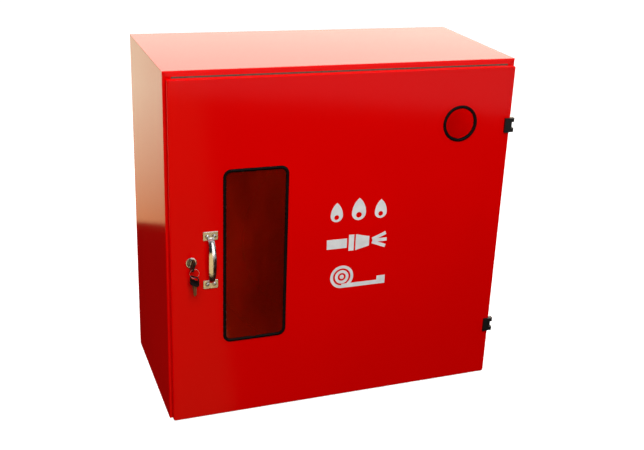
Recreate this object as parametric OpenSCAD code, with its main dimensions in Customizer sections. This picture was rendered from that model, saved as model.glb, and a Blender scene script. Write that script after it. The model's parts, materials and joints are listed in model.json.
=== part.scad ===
// Fire hose reel cabinet: a folded sheet-metal box with a hinged pan door, and inside it a fixed reel of
// rolled fire hose fed through a ball valve. Millimetres. The origin is the centre of the body's underside,
// +Z is up, the door faces -Y and its hinges are on the +X side.

/* [Cabinet] */
// Width of the body
body_w = 700; // [700:10:760]
// Height of the body
body_h = 700; // [700:10:760]
// Depth of the body behind the door
body_d = 325; // [325:5:360]
// Thickness of the sheet metal
sheet = 1.5; // [1.2:0.1:2]
// Width of the flange turned in round the front opening
flange_w = 25; // [22:1:28]
// Open joint along the mitred corners of the front flange
mitre_gap = 0.6; // [0.3:0.1:1]
// Distance between the wall bolts, both ways
wall_bolt_pitch = 560; // [500:10:600]
// Diameter of the wall bolt holes
wall_bolt_d = 10; // [8:0.5:12]
// Width of the foam seal strip
seal_w = 10; // [8:1:12]
// Compressed thickness of the foam seal
seal_t = 1.8; // [1.5:0.1:1.8]

/* [Door] */
// Depth of the folded door pan
door_t = 13.5; // [12:0.5:15]
// Gap between the closed door and the body flange
door_gap = 2; // [2:0.5:3]
// Body flange left showing beside the door, each side
side_reveal = 5; // [4:0.5:6]
// Body flange left showing above the door
top_reveal = 12; // [10:0.5:14]
// Clearance under the door
bottom_reveal = 1; // [1:0.5:3]
// Width of the lip turned in at the back of the door
door_lip = 12; // [10:1:14]
// Outside corner radius of the door face
door_corner_r = 3; // [2:0.5:4]

/* [Window and port] */
// Outside width of the window rubber
window_w = 127; // [120:1:130]
// Outside height of the window rubber
window_h = 356; // [340:2:370]
// Outside corner radius of the window rubber
window_r = 16; // [14:1:20]
// Width of rubber that shows in front
rubber_w = 6.5; // [6:0.5:8]
// Height of the rubber above the door face
rubber_proud = 2.2; // [1.5:0.1:3]
// Thickness of the tinted pane
pane_t = 3; // [2:0.5:3.5]
// Outside diameter of the round port's rubber
port_d = 74; // [68:1:80]
// Width of the port rubber that shows in front
port_rubber_w = 6.5; // [5:0.5:8]

/* [Handle] */
// Overall height of the pull
pull_h = 117; // [110:1:124]
// Width of each end plate
pull_plate_w = 29.4; // [28:0.2:32]
// Height of each end plate
pull_plate_h = 18; // [16:1:20]
// Width of the grip where it meets the plates
pull_grip_w = 12; // [10:1:13]
// How far the grip stands off the door
pull_reach = 21; // [20:1:26]

/* [Lock and keys] */
// Diameter of the lock's face ring
lock_d = 21.5; // [20:0.5:24]
// Diameter of the lock's threaded barrel
lock_barrel_d = 18; // [17:0.5:19]
// Diameter of the turning plug
plug_d = 13; // [12:0.5:14]
// Reach of the locking cam from the lock's axis
cam_reach = 36; // [32:1:38]
// Angle that the key leans from upright
key_lean = 17; // [0:1:20]
// Length of a key's plastic head
key_head_l = 21; // [18:1:22]
// Width of a key's plastic head
key_head_w = 20; // [18:1:22]
// Length of a key's blade
key_blade_l = 18; // [16:1:19]
// Diameter of the key ring, centre line
key_ring_d = 17; // [16:0.5:22]

/* [Hinges] */
// Height of each hinge
hinge_h = 29; // [26:1:32]
// Height of each of the door leaf's two knuckles
knuckle_h = 8; // [7:0.5:9]
// Radius of the knuckles
knuckle_r = 4; // [3.5:0.1:4]
// Diameter of the hinge pin
hinge_pin_d = 4; // [3:0.5:4]
// Running clearance of the pin in the door leaf, on the radius
pin_fit = 0.05; // [0.02:0.01:0.1]

/* [Reel and hose] */
// Height of the reel's axis
reel_z = 345; // [340:1:350]
// Outside diameter of the reel's side discs
disc_d = 520; // [500:5:525]
// Outside diameter of the reel's drum
drum_d = 180; // [170:2:190]
// Outside diameter of the hose
hose_d = 27; // [25:0.5:28]
// Turns of hose side by side on the drum
hose_turns = 6; // [5:1:6]
// Layers of hose on the drum
hose_layers = 5; // [4:1:5]
// Diameter of the fixed hollow spindle
spindle_d = 34; // [32:1:36]
// Bore of the water way
water_bore = 20; // [18:1:22]

/* [Water supply] */
// Distance of the riser pipe from the middle of the cabinet
riser_x = 300; // [296:1:304]
// Distance of the riser pipe behind the middle of the cabinet
riser_y = 105; // [100:1:110]
// Outside diameter of the supply pipe
pipe_d = 27; // [26:0.5:28]
// Bore of the inlet socket
inlet_bore = 30; // [28:0.5:32]
// Length of the valve lever
lever_l = 95; // [85:1:100]

/* [Hidden] */
$fn = 48;

// A little extra length, so that cutting tools pass right through what they cut.
over = 1;

// Cabinet planes.
half_w = body_w / 2;
front_y = -body_d / 2;
back_y = body_d / 2;
inner_back_y = back_y - sheet;

// Door planes and edges.
door_back_y = front_y - door_gap;
door_front_y = door_back_y - door_t;
skin_back_y = door_front_y + sheet;
door_half_w = half_w - side_reveal;
door_top_z = body_h - top_reveal;
door_h = door_top_z - bottom_reveal;
door_mid_z = bottom_reveal + door_h / 2;

// Places on the door face.
window_x = -182.5;
window_z = 340;
port_x = 232;
port_z = 577.5;
pull_x = -270;
pull_z = 341;
lock_x = -307;
lock_z = 340;
sign_x = 26.5;
sign_rows = [417.5, 346, 273.5];
sign_w = 129;
sign_h = 49;
sign_t = 0.3;

// Widths hidden in the rubbers' grooves.
rubber_bite = 2.5;
rubber_web = 1.5;

// Hinge axis and heights.
hinge_x = half_w - 0.5;
hinge_y = door_front_y + 7;
hinge_zs = [118.5, 568.5];
leaf_inset = 13.5;
leaf_proud = 4.5;
wall_leaf_t = 3.5;
hinge_screw_r = 2;
leaf_screw_x = door_half_w - leaf_inset + 6;
wall_screw_y = front_y + 14;

// Handle screws.
pull_screw_dx = 7.4;
pull_plate_dz = (pull_h - pull_plate_h) / 2;
pull_screw_r = 2;

// Lock.
cam_screw_r = 2.5;
lock_face_t = 3;
lock_rear_y = door_front_y + 18;
cam_t = 2;
cam_w = 16;
plug_fit = 0.05;

// Keys: the ring hangs in the slot across each key's head.
key_head_t = 2.8;
key_shank_l = 3;
key_blade_w = 8;
key_blade_t = 2;
key_slot_from_end = 5;
ring_wire_r = 0.7;
ring_hang_r = 4.8;
key_slot_w = 17;
lock_face_y = door_front_y - lock_face_t;
key_slot_y = lock_face_y - key_shank_l - key_head_l + key_slot_from_end;
ring_top_x = lock_x + ring_hang_r * sin(key_lean);
ring_top_z = lock_z - ring_hang_r * cos(key_lean);
ring_bottom_z = ring_top_z - key_ring_d;
spare_turn = -52;
spare_slack = 1;

// Reel. The discs stand at these two planes, and the coil fills the space between them.
disc_r = disc_d / 2;
disc_t = 1.2;
rim_r = 3.5;
front_disc_y = -112;
rear_disc_y = 62;
drum_r = drum_d / 2;
drum_t = 1.5;
coil_w = hose_turns * hose_d;
coil_mid_y = (front_disc_y + rear_disc_y + disc_t) / 2;
coil_inner_r = drum_r + 0.3;
coil_outer_r = drum_r + hose_layers * hose_d;
tail_r = coil_outer_r + hose_d / 2;
tail_angle = 70;
nozzle_angle = 150;
ferrule_l = 36;
nozzle_l = 80;
nozzle_bore_r = 8;
spigot_r = 9;
spigot_l = 30;
tip_l = 45;
bush_fit = 0.05;
hub_r = 24;
spindle_r = spindle_d / 2;
spindle_front_y = front_disc_y - 6;
swivel_y = -20;
tie_rod_pcd_r = 70;
tie_rod_r = 4;
bracket_w = 180;
bracket_t = 4;
bracket_y = inner_back_y - bracket_t;

// Supply pipe.
grommet_r = 24;
pipe_r = pipe_d / 2;
bore_r = water_bore / 2;
valve_z = 95;
stem_r = 5;
stem_fit = 0.05;
ball_r = 15;
ball_gap = 0.3;
stem_bite = 1.5;
fitting_r = 17;
fitting_l = 20;
valve_half_h = 34;
socket_z = 35;
clip_z = 250;
lever_y = riser_y - 46;
lever_w = 16;
lever_t = 3;

// A block between two opposite corners.
module block(low, high) {
    translate(low) cube(high - low);
}

// A cylinder along Y, from y0 to y1.
module rod_y(x, z, y0, y1, r) {
    translate([x, y0, z]) rotate([-90, 0, 0]) cylinder(h = y1 - y0, r = r);
}

// A cylinder along Z, from z0 to z1.
module rod_z(x, y, z0, z1, r) {
    translate([x, y, z0]) cylinder(h = z1 - z0, r = r);
}

// A flat shape drawn in X and Z, given thickness from y0 to y1.
module slab_y(y0, y1) {
    translate([0, y1, 0]) rotate([90, 0, 0]) linear_extrude(y1 - y0) children();
}

// A rectangle with round corners, centred.
module round_rect(w, h, r) {
    square([w - 2 * r, h], center = true);
    square([w, h - 2 * r], center = true);
    for (sx = [-1, 1], sz = [-1, 1]) {
        translate([sx * (w / 2 - r), sz * (h / 2 - r)]) circle(r);
    }
}

// A dome-headed screw along +Y: the head stands in front of y0, the shank runs back from it.
module pan_screw_y(x, z, y0, head_r, head_h, shank_r, shank_l) {
    rod_y(x, z, y0, y0 + shank_l, shank_r);
    dome_r = (head_r * head_r + head_h * head_h) / (2 * head_h);
    intersection() {
        translate([x, y0 - head_h + dome_r, z]) sphere(dome_r);
        rod_y(x, z, y0 - head_h, y0, head_r);
    }
}

// A hexagonal nut along Y, across its flats.
module hex_nut_y(x, z, y0, y1, flats, hole_r) {
    difference() {
        translate([x, y0, z]) rotate([-90, 0, 0]) cylinder(h = y1 - y0, r = flats / 2 / cos(30), $fn = 6);
        rod_y(x, z, y0 - over, y1 + over, hole_r);
    }
}

// ---- Cabinet body ----

module top_panel() {
    color("red") {
        block([-half_w, front_y, body_h - sheet], [half_w, back_y, body_h]);
        slab_y(front_y, front_y + sheet) polygon([
            [-half_w + sheet, body_h - sheet], [half_w - sheet, body_h - sheet],
            [half_w - flange_w, body_h - flange_w], [-half_w + flange_w, body_h - flange_w]
        ]);
    }
}

module bottom_panel() {
    color("red") difference() {
        union() {
            block([-half_w, front_y, 0], [half_w, back_y, sheet]);
            slab_y(front_y, front_y + sheet) polygon([
                [-half_w + sheet, sheet], [half_w - sheet, sheet],
                [half_w - flange_w, flange_w], [-half_w + flange_w, flange_w]
            ]);
        }
        rod_z(riser_x, riser_y, -over, sheet + over, grommet_r);
    }
}

// One side, drawn on the -X side.
module side_sheet() {
    joint = sheet - mitre_gap;
    block([-half_w, front_y, sheet], [-half_w + sheet, back_y, body_h - sheet]);
    slab_y(front_y, front_y + sheet) polygon([
        [-half_w, sheet], [-half_w, body_h - sheet], [-half_w + joint, body_h - sheet],
        [-half_w + flange_w, body_h - flange_w - mitre_gap],
        [-half_w + flange_w, flange_w + mitre_gap], [-half_w + joint, sheet]
    ]);
}

module left_side_panel() {
    color("red") side_sheet();
}

module right_side_panel() {
    color("red") difference() {
        mirror([1, 0, 0]) side_sheet();
        for (z = hinge_zs, dz = [-8, 8]) {
            translate([half_w - 2 * sheet, wall_screw_y, z + dz]) rotate([0, 90, 0])
                cylinder(h = 4 * sheet, r = hinge_screw_r);
        }
    }
}

module back_panel() {
    color("red") difference() {
        block([-half_w + sheet, inner_back_y, sheet], [half_w - sheet, back_y, body_h - sheet]);
        for (sx = [-1, 1], sz = [-1, 1]) {
            rod_y(sx * wall_bolt_pitch / 2, body_h / 2 + sz * wall_bolt_pitch / 2,
                inner_back_y - over, back_y + over, wall_bolt_d / 2);
        }
    }
}

// A frame of foam on the front flange. Its top strip shows above the door.
module door_seal() {
    seal_half_w = half_w - flange_w + seal_w;
    seal_low_z = flange_w - seal_w - 7;
    seal_top_z = door_top_z + 4.5;
    seal_mid_z = (seal_low_z + seal_top_z) / 2;
    color("dimgray") slab_y(front_y - seal_t, front_y) difference() {
        translate([0, seal_mid_z]) square([2 * seal_half_w, seal_top_z - seal_low_z], center = true);
        translate([0, seal_mid_z])
            square([2 * (seal_half_w - seal_w), seal_top_z - seal_low_z - 2 * seal_w], center = true);
    }
}

// ---- Hinges ----

// The fixed leaf: a plate on the side wall, with one knuckle reaching forward between the door's two.
module body_hinge_leaves() {
    color("black") for (z = hinge_zs) difference() {
        gap_h = hinge_h - 2 * knuckle_h - 1;
        union() {
            block([half_w, front_y + 1, z - hinge_h / 2],
                [half_w + wall_leaf_t, front_y + 25, z + hinge_h / 2]);
            block([half_w, hinge_y, z - gap_h / 2], [half_w + wall_leaf_t, front_y + 2, z + gap_h / 2]);
            rod_z(hinge_x, hinge_y, z - gap_h / 2, z + gap_h / 2, knuckle_r);
        }
        rod_z(hinge_x, hinge_y, z - hinge_h, z + hinge_h, hinge_pin_d / 2);
        for (dz = [-8, 8]) {
            translate([half_w - over, wall_screw_y, z + dz]) rotate([0, 90, 0])
                cylinder(h = over + wall_leaf_t - 1, r = hinge_screw_r);
        }
    }
}

module hinge_pins() {
    color("silver") for (z = hinge_zs) {
        rod_z(hinge_x, hinge_y, z - hinge_h / 2, z + hinge_h / 2, hinge_pin_d / 2);
    }
}

// Screws driven outward from inside the cabinet into the fixed leaves.
module body_hinge_screws() {
    color("silver") for (z = hinge_zs, dz = [-8, 8]) {
        translate([half_w - sheet, wall_screw_y, z + dz]) rotate([0, 90, 0]) {
            translate([0, 0, -2]) cylinder(h = 2, r = 3.5);
            cylinder(h = sheet + wall_leaf_t - 1.2, r = hinge_screw_r);
        }
    }
}

// The moving leaf: a plate on the door face that wraps round the edge in two knuckles.
module door_hinge_leaves() {
    leaf_front_y = door_front_y - leaf_proud;
    leaf_x = door_half_w - leaf_inset;
    color("black") for (z = hinge_zs) difference() {
        union() {
            block([leaf_x, leaf_front_y, z - hinge_h / 2], [door_half_w - 0.5, door_front_y, z + hinge_h / 2]);
            for (side = [-1, 1]) {
                knuckle_z = z + side * (hinge_h - knuckle_h) / 2;
                rod_z(hinge_x, hinge_y, knuckle_z - knuckle_h / 2, knuckle_z + knuckle_h / 2, knuckle_r);
                block([hinge_x - knuckle_r, leaf_front_y + knuckle_r, knuckle_z - knuckle_h / 2],
                    [hinge_x + knuckle_r, hinge_y, knuckle_z + knuckle_h / 2]);
                rod_z(hinge_x, leaf_front_y + knuckle_r, knuckle_z - knuckle_h / 2,
                    knuckle_z + knuckle_h / 2, knuckle_r);
                block([leaf_x, leaf_front_y, knuckle_z - knuckle_h / 2],
                    [hinge_x, door_front_y, knuckle_z + knuckle_h / 2]);
            }
        }
        rod_z(hinge_x, hinge_y, z - hinge_h, z + hinge_h, hinge_pin_d / 2 + pin_fit);
        for (dz = [-8, 8]) {
            rod_y(leaf_screw_x, z + dz, door_front_y - 2.5, door_front_y + over, hinge_screw_r);
        }
    }
}

// Screws driven forward from inside the door into the moving leaves.
module door_hinge_screws() {
    color("silver") for (z = hinge_zs, dz = [-8, 8]) {
        rod_y(leaf_screw_x, z + dz, skin_back_y, skin_back_y + 2, 3.5);
        rod_y(leaf_screw_x, z + dz, door_front_y - 2.3, skin_back_y, hinge_screw_r);
    }
}

// ---- Door ----

// The window's outline in the door's plane, shrunk by a margin on every side.
module window_outline(margin) {
    translate([window_x, window_z])
        round_rect(window_w - 2 * margin, window_h - 2 * margin, window_r - margin);
}

// A folded pan: the face, four edges turned back, and a lip turned in all round.
module door_panel() {
    color("red") difference() {
        slab_y(door_front_y, door_back_y) translate([0, door_mid_z])
            round_rect(2 * door_half_w, door_h, door_corner_r);
        slab_y(skin_back_y, door_back_y - sheet) translate([0, door_mid_z])
            round_rect(2 * (door_half_w - sheet), door_h - 2 * sheet, door_corner_r - sheet);
        slab_y(door_back_y - 2 * sheet, door_back_y + over) translate([0, door_mid_z])
            square([2 * (door_half_w - door_lip), door_h - 2 * door_lip], center = true);
        slab_y(door_front_y - over, skin_back_y + over) window_outline(rubber_bite);
        rod_y(port_x, port_z, door_front_y - over, skin_back_y + over, port_d / 2 - rubber_bite);
        rod_y(lock_x, lock_z, door_front_y - over, skin_back_y + over, lock_barrel_d / 2);
        for (sx = [-1, 1], sz = [-1, 1]) {
            rod_y(pull_x + sx * pull_screw_dx, pull_z + sz * pull_plate_dz,
                door_front_y - over, skin_back_y + over, pull_screw_r);
        }
        for (z = hinge_zs, dz = [-8, 8]) {
            rod_y(leaf_screw_x, z + dz, door_front_y - over, skin_back_y + over, hinge_screw_r);
        }
    }
}

module window_pane() {
    color([0.25, 0.02, 0, 0.6]) slab_y(door_front_y, door_front_y + pane_t)
        window_outline(rubber_bite + rubber_web);
}

// A rubber section with one groove for the sheet and one for the pane.
module window_rubber() {
    color("black") difference() {
        slab_y(door_front_y - rubber_proud, door_front_y + pane_t + rubber_proud) difference() {
            window_outline(0);
            window_outline(rubber_w);
        }
        slab_y(door_front_y, skin_back_y) difference() {
            window_outline(-over);
            window_outline(rubber_bite);
        }
        slab_y(door_front_y, door_front_y + pane_t) window_outline(rubber_bite + rubber_web);
    }
}

// An edging ring with one groove for the sheet, round the open port.
module port_rubber() {
    outer_r = port_d / 2;
    color("black") translate([port_x, door_front_y, port_z]) rotate([-90, 0, 0]) rotate_extrude() difference() {
        translate([outer_r - port_rubber_w, -rubber_proud]) square([port_rubber_w, sheet + 2 * rubber_proud]);
        translate([outer_r - rubber_bite, 0]) square([rubber_bite + over, sheet]);
    }
}

// ---- White pictograms on the door ----

// A flame: a round foot, a pointed tongue where two circles cross, and a hollow heart.
module flame(h) {
    foot_r = h * 0.3;
    tongue_r = h * 0.85;
    difference() {
        union() {
            translate([0, foot_r]) circle(foot_r);
            intersection() {
                translate([tongue_r - foot_r, foot_r]) circle(tongue_r);
                translate([foot_r - tongue_r, foot_r]) circle(tongue_r);
                translate([-foot_r, foot_r]) square([2 * foot_r, h]);
            }
        }
        translate([0, foot_r * 0.75]) circle(foot_r * 0.4);
    }
}

module flame_sign() {
    color("white") slab_y(door_front_y - sign_t, door_front_y) translate([sign_x, sign_rows[0] - sign_h / 2]) {
        flame(sign_h);
        for (side = [-1, 1]) translate([side * sign_w * 0.36, 0]) flame(sign_h * 0.86);
    }
}

// A nozzle lying on its side, with three jets of water.
module hose_sign() {
    color("white") slab_y(door_front_y - sign_t, door_front_y) translate([sign_x, sign_rows[1]]) {
        translate([-sign_w / 2, -10]) square([42, 20]);
        translate([-sign_w / 2 + 46, -17]) square([11, 34]);
        polygon([[-4, -17], [25, -10], [25, 10], [-4, 17]]);
        for (tilt = [-22, 0, 22]) translate([25, 0]) rotate(tilt) translate([7, -3.5]) square([31, 7]);
    }
}

// A reel seen end on, with the hose leading off to one side.
module reel_sign() {
    ring_w = 6;
    hose_w = 9;
    color("white") slab_y(door_front_y - sign_t, door_front_y) translate([sign_x - 30, sign_rows[2]]) {
        for (r = [sign_h / 2, sign_h / 2 - 10, sign_h / 2 - 20]) difference() {
            circle(r);
            if (r > ring_w) circle(r - ring_w);
        }
        translate([0, -sign_h / 2]) square([80, hose_w]);
        translate([76, -sign_h / 2]) square([18, hose_w + 9]);
    }
}

// ---- Pull handle ----

// Two end plates joined by an arched grip.
module pull_handle() {
    plate_t = 2;
    grip_t = 2.5;
    arch_h = pull_plate_dz - pull_plate_h / 2 + 5;
    color("silver") difference() {
        union() {
            for (side = [-1, 1]) slab_y(door_front_y - plate_t, door_front_y)
                translate([pull_x, pull_z + side * pull_plate_dz]) round_rect(pull_plate_w, pull_plate_h, 2);
            translate([pull_x - pull_grip_w / 2, door_front_y, pull_z]) rotate([90, 0, 90])
                linear_extrude(pull_grip_w) polygon(concat(
                    [for (a = [0:6:180]) arch_point(a, arch_h, pull_reach)],
                    [for (a = [180:-6:0]) arch_point(a, arch_h - grip_t, pull_reach - grip_t)]));
        }
        for (sx = [-1, 1], sz = [-1, 1]) {
            rod_y(pull_x + sx * pull_screw_dx, pull_z + sz * pull_plate_dz,
                door_front_y - plate_t - over, door_front_y + over, pull_screw_r);
        }
    }
}

// A point on the grip's side outline: a squarish arch.
function arch_point(a, h, reach) = [-reach * pow(sin(a), 0.7), h * cos(a)];

module handle_screws() {
    color("silver") for (sx = [-1, 1], sz = [-1, 1]) {
        pan_screw_y(pull_x + sx * pull_screw_dx, pull_z + sz * pull_plate_dz,
            door_front_y - 2, 3.2, 1.9, pull_screw_r, 8);
    }
}

module handle_nuts() {
    color("silver") for (sx = [-1, 1], sz = [-1, 1]) {
        hex_nut_y(pull_x + sx * pull_screw_dx, pull_z + sz * pull_plate_dz,
            skin_back_y, skin_back_y + 3.2, 7, pull_screw_r);
    }
}

// ---- Lock and keys ----

module lock_housing() {
    color("silver") difference() {
        union() {
            rod_y(lock_x, lock_z, door_front_y - lock_face_t, door_front_y, lock_d / 2);
            rod_y(lock_x, lock_z, door_front_y, lock_rear_y, lock_barrel_d / 2);
        }
        rod_y(lock_x, lock_z, door_front_y - lock_face_t - over, lock_rear_y + over, plug_d / 2 + plug_fit);
    }
}

module lock_nut() {
    color("silver") hex_nut_y(lock_x, lock_z, skin_back_y, skin_back_y + 4, 24, lock_barrel_d / 2);
}

// The plug turns in the housing. Its keyway leans with the key, and its tail carries the cam.
module lock_plug() {
    color("silver") difference() {
        union() {
            rod_y(lock_x, lock_z, lock_face_y, lock_rear_y + 0.5, plug_d / 2);
            rod_y(lock_x, lock_z, lock_rear_y, lock_rear_y + 0.5 + cam_t, 5);
        }
        translate([lock_x, lock_face_y - over, lock_z]) rotate([0, key_lean, 0])
            translate([-key_blade_t / 2 - 0.1, 0, -key_blade_w / 2 - 0.1])
            cube([key_blade_t + 0.2, key_blade_l + over + 0.5, key_blade_w + 0.2]);
        rod_y(lock_x, lock_z, lock_rear_y - 1, lock_rear_y + 5, cam_screw_r);
    }
}

// The cam hangs down when unlocked and swings out behind the flange when locked.
module lock_cam() {
    cam_y = lock_rear_y + 0.5;
    color("silver") difference() {
        slab_y(cam_y, cam_y + cam_t) translate([lock_x, lock_z]) {
            circle(cam_w / 2);
            translate([-cam_w / 2, -cam_reach]) square([cam_w, cam_reach]);
        }
        rod_y(lock_x, lock_z, cam_y - over, cam_y + cam_t + over, 5);
    }
}

module cam_screw() {
    head_y = lock_rear_y + 0.5 + cam_t;
    color("silver") {
        rod_y(lock_x, lock_z, head_y, head_y + 2.5, 6.5);
        rod_y(lock_x, lock_z, lock_rear_y - 1, head_y, cam_screw_r);
    }
}

// A key drawn along -Y from its shoulder at the origin, upright, blade along +Y.
module key_steel() {
    block([-key_blade_t / 2, 0, -key_blade_w / 2], [key_blade_t / 2, key_blade_l, key_blade_w / 2]);
    block([-key_blade_t / 2, -key_shank_l, -key_blade_w / 2], [key_blade_t / 2, 0, key_blade_w / 2]);
}

module key_plastic() {
    head_mid = -key_shank_l - key_head_l / 2;
    slot_mid = -key_shank_l - key_head_l + key_slot_from_end;
    translate([key_head_t / 2, 0, 0]) rotate([0, -90, 0]) linear_extrude(key_head_t) difference() {
        translate([0, head_mid]) round_rect(key_head_w, key_head_l, 5);
        translate([0, slot_mid]) round_rect(key_slot_w, 4.4, 2.1);
    }
}

module in_lock() {
    translate([lock_x, lock_face_y, lock_z]) rotate([0, key_lean, 0]) children();
}

// The spare hangs blade down from the bottom of the ring.
module on_ring() {
    slot_drop = key_shank_l + key_head_l - key_slot_from_end;
    translate([ring_top_x, key_slot_y, ring_bottom_z - slot_drop - spare_slack]) rotate([0, 0, spare_turn])
        rotate([-90, 0, 0]) rotate([0, 90, 0]) children();
}

module key_blade() {
    color("silver") in_lock() key_steel();
}

module key_head() {
    color("black") in_lock() key_plastic();
}

module key_ring() {
    color("silver") translate([ring_top_x, key_slot_y, ring_top_z - key_ring_d / 2]) rotate([90, 0, 0])
        rotate_extrude() translate([key_ring_d / 2, 0]) circle(ring_wire_r);
}

module spare_key_blade() {
    color("goldenrod") on_ring() key_steel();
}

module spare_key_head() {
    color("black") on_ring() key_plastic();
}

// ---- Fixed reel mount and water supply ----

// A tube along Z, from z0 to z1.
module tube_z(x, y, z0, z1, outer_r, inner_r) {
    difference() {
        rod_z(x, y, z0, z1, outer_r);
        rod_z(x, y, z0 - over, z1 + over, inner_r);
    }
}

// Four places at the corners of the reel bracket.
module at_bracket_corners() {
    for (sx = [-1, 1], sz = [-1, 1]) {
        translate([sx * bracket_w * 0.39, 0, reel_z + sz * bracket_w * 0.39]) children();
    }
}

module reel_bracket() {
    boss_l = 28;
    color("dimgray") difference() {
        union() {
            slab_y(bracket_y, inner_back_y) translate([0, reel_z]) round_rect(bracket_w, bracket_w, 12);
            rod_y(0, reel_z, bracket_y - boss_l, bracket_y, spindle_r + 9);
        }
        rod_y(0, reel_z, bracket_y - boss_l - over, inner_back_y + over, spindle_r);
        at_bracket_corners() rod_y(0, 0, bracket_y - over, inner_back_y + over, 4);
    }
}

// Nuts on studs that are welded to the back panel.
module bracket_nuts() {
    color("silver") at_bracket_corners() {
        rod_y(0, 0, bracket_y - 10, inner_back_y, 4);
        translate([0, bracket_y - 6.5, 0]) rotate([-90, 0, 0]) cylinder(h = 6.5, r = 7.5, $fn = 6);
    }
}

// The hollow spindle: water enters from the side at the back and leaves by cross holes in the drum.
module spindle() {
    color("silver") difference() {
        rod_y(0, reel_z, spindle_front_y, inner_back_y, spindle_r);
        rod_y(0, reel_z, swivel_y - bore_r, riser_y + bore_r, bore_r);
        translate([0, riser_y, reel_z]) rotate([0, 90, 0]) cylinder(h = spindle_d, r = bore_r);
        rod_z(0, swivel_y, reel_z - spindle_d, reel_z + spindle_d, 7);
    }
}

module spindle_cap() {
    color("silver") {
        rod_y(0, reel_z, spindle_front_y - 5, spindle_front_y, hub_r);
        translate([0, spindle_front_y - 12, reel_z]) rotate([-90, 0, 0]) cylinder(h = 7, r = 11, $fn = 6);
    }
}

// A collar clamped round the spindle, with a side port for the supply pipe.
module inlet_elbow() {
    port_l = 60;
    color("goldenrod") difference() {
        union() {
            rod_y(0, reel_z, riser_y - fitting_l, riser_y + fitting_l, spindle_r + 8);
            translate([0, riser_y, reel_z]) rotate([0, 90, 0]) cylinder(h = port_l, r = fitting_r);
        }
        rod_y(0, reel_z, riser_y - 2 * fitting_l, riser_y + 2 * fitting_l, spindle_r);
        translate([0, riser_y, reel_z]) rotate([0, 90, 0]) cylinder(h = port_l + over, r = bore_r);
    }
}

module cross_pipe() {
    start_x = 60;
    color("silver") translate([start_x, riser_y, reel_z]) rotate([0, 90, 0]) difference() {
        cylinder(h = riser_x - fitting_l - start_x, r = pipe_r);
        translate([0, 0, -over]) cylinder(h = riser_x, r = bore_r);
    }
}

// One arm of the corner elbow's water way, of any radius.
module elbow_way(r, extra) {
    translate([riser_x, riser_y, reel_z]) {
        sphere(r);
        rotate([0, -90, 0]) cylinder(h = fitting_l + extra, r = r);
        rotate([180, 0, 0]) cylinder(h = fitting_l + extra, r = r);
    }
}

module corner_elbow() {
    color("goldenrod") difference() {
        elbow_way(fitting_r, 0);
        elbow_way(bore_r, over);
    }
}

module riser_pipe() {
    color("silver") tube_z(riser_x, riser_y, valve_z + valve_half_h, reel_z - fitting_l, pipe_r, bore_r);
}

// A ball valve body: hexagon ends, a round chamber, and a bonnet for the stem towards the front.
module valve_body() {
    color("goldenrod") difference() {
        translate([riser_x, riser_y, valve_z]) {
            translate([0, 0, -valve_half_h]) cylinder(h = 2 * valve_half_h, r = 20, $fn = 6);
            translate([0, 0, -20]) cylinder(h = 40, r = 21);
            rotate([90, 0, 0]) cylinder(h = 34, r = 11);
        }
        rod_z(riser_x, riser_y, valve_z - 2 * valve_half_h, valve_z + 2 * valve_half_h, bore_r);
        translate([riser_x, riser_y, valve_z]) sphere(ball_r + ball_gap);
        rod_y(riser_x, valve_z, riser_y - 40, riser_y, stem_r + stem_fit);
    }
}

module inlet_socket() {
    color("goldenrod") difference() {
        rod_z(riser_x, riser_y, socket_z, valve_z - valve_half_h, 20);
        rod_z(riser_x, riser_y, socket_z - over, socket_z + fitting_l, inlet_bore / 2);
        rod_z(riser_x, riser_y, socket_z, valve_z, bore_r);
    }
}

module pipe_grommet() {
    color("black") difference() {
        union() {
            rod_z(riser_x, riser_y, 0, sheet, grommet_r);
            rod_z(riser_x, riser_y, sheet, sheet + 3, grommet_r + 4);
        }
        rod_z(riser_x, riser_y, -over, sheet + 3 + over, grommet_r - 6);
    }
}

// A saddle that holds the riser to the side wall.
module pipe_clip() {
    wall_x = half_w - sheet;
    color("silver") difference() {
        union() {
            rod_z(riser_x, riser_y, clip_z - 8, clip_z + 8, pipe_r + 3);
            block([riser_x, riser_y - 8, clip_z - 8], [wall_x, riser_y + 8, clip_z + 8]);
            block([wall_x - 3, riser_y - 8, clip_z - 20], [wall_x, riser_y + 8, clip_z + 20]);
        }
        rod_z(riser_x, riser_y, clip_z - 30, clip_z + 30, pipe_r);
    }
}

// The ball lies closed: its bore is across the pipe.
module valve_ball() {
    color("silver") translate([riser_x, riser_y, valve_z]) rotate([0, 90, 0]) rotate_extrude() intersection() {
        circle(ball_r);
        translate([bore_r, -ball_r]) square([ball_r, 2 * ball_r]);
    }
}

// The stem is pressed a little way into the ball.
module valve_stem() {
    color("goldenrod") rod_y(riser_x, valve_z, lever_y - 8, riser_y - ball_r + stem_bite, stem_r);
}

// The lever's outline, lying across the pipe.
module lever_outline() {
    translate([riser_x, valve_z]) {
        circle(lever_w / 2);
        translate([-lever_l, -lever_w / 2]) square([lever_l, lever_w]);
        translate([-lever_l, 0]) circle(lever_w / 2);
    }
}

module valve_lever() {
    color("silver") slab_y(lever_y, lever_y + lever_t) difference() {
        lever_outline();
        translate([riser_x, valve_z]) circle(stem_r);
    }
}

module lever_grip() {
    grip_l = 60;
    color("red") difference() {
        slab_y(lever_y - 2, lever_y + lever_t + 2)
            translate([riser_x - lever_l + grip_l / 2 - lever_w / 2 - 2, valve_z])
                round_rect(grip_l, lever_w + 4, 9);
        slab_y(lever_y, lever_y + lever_t) lever_outline();
    }
}

module lever_nut() {
    color("silver") hex_nut_y(riser_x, valve_z, lever_y - 6, lever_y, 13, stem_r);
}

// ---- Turning reel ----

// Turns a flat profile, radius across and Y up, into a ring on the reel's axis at height y.
module on_reel(y) {
    translate([0, y, reel_z]) rotate([-90, 0, 0]) rotate_extrude($fn = 96) children();
}

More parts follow.
